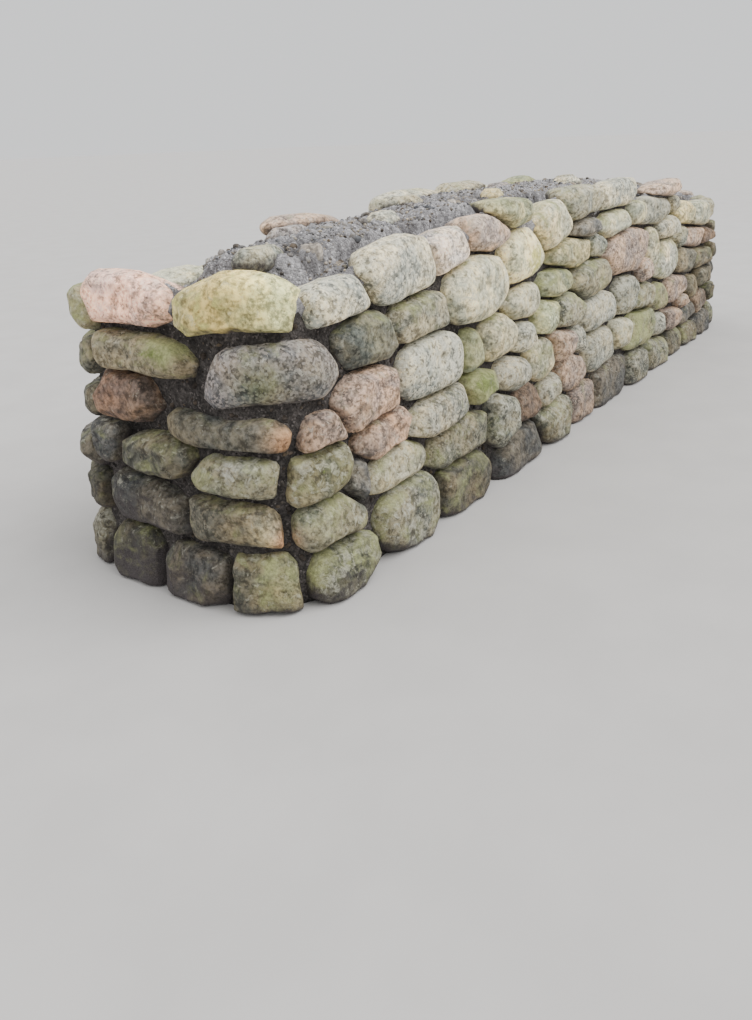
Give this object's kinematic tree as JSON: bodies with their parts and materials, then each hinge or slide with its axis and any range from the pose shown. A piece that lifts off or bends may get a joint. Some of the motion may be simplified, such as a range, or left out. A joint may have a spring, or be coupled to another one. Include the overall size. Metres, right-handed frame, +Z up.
{
  "type": "dry stone wall",
  "caption": "Dry stone wall of rounded field boulders with rounded corners, battered faces and an earth-filled top.",
  "frame": {"origin": "centre of the wall's foot, on the ground", "axes": "+Z up, +X along the wall away from its near end, front face towards -Y"},
  "size_m": [5.2483, 1.1973, 1.15],
  "materials": {
    "face_boulders": "weathered granite with pale green algae, lichen and earth stains",
    "end_boulders": "weathered granite, darker, with yellow lichen and moss",
    "earth_and_rubble": "damp dark earth packed with small rubble",
    "dark_topsoil": "crumbly dark topsoil with pebbles"
  },
  "bodies": {
    "root": {"rammed_hearting": "earth_and_rubble", "topsoil": "dark_topsoil", "bedded_stones": "face_boulders", "near_end_course_1": "end_boulders", "near_end_course_2": "end_boulders", "near_end_course_3": "end_boulders", "near_end_course_4": "end_boulders", "near_end_course_5": "end_boulders", "near_end_course_6": "end_boulders", "near_corner_stone_1": "end_boulders", "near_corner_stone_2": "end_boulders", "near_corner_stone_3": "end_boulders", "near_corner_stone_4": "end_boulders", "near_corner_stone_5": "end_boulders", "near_corner_stone_6": "end_boulders", "front_course_1": "face_boulders", "front_course_2": "face_boulders", "front_course_3": "face_boulders", "front_course_4": "face_boulders", "front_course_5": "face_boulders", "front_course_6": "face_boulders", "far_end_course_1": "end_boulders", "far_end_course_2": "end_boulders", "far_end_course_3": "end_boulders", "far_end_course_4": "end_boulders", "far_end_course_5": "end_boulders", "far_end_course_6": "end_boulders", "far_corner_stone_1": "end_boulders", "far_corner_stone_2": "end_boulders", "far_corner_stone_3": "end_boulders", "far_corner_stone_4": "end_boulders", "far_corner_stone_5": "end_boulders", "far_corner_stone_6": "end_boulders", "back_course_1": "face_boulders", "back_course_2": "face_boulders", "back_course_3": "face_boulders", "back_course_4": "face_boulders", "back_course_5": "face_boulders", "back_course_6": "face_boulders"}
  },
  "joints": []
}
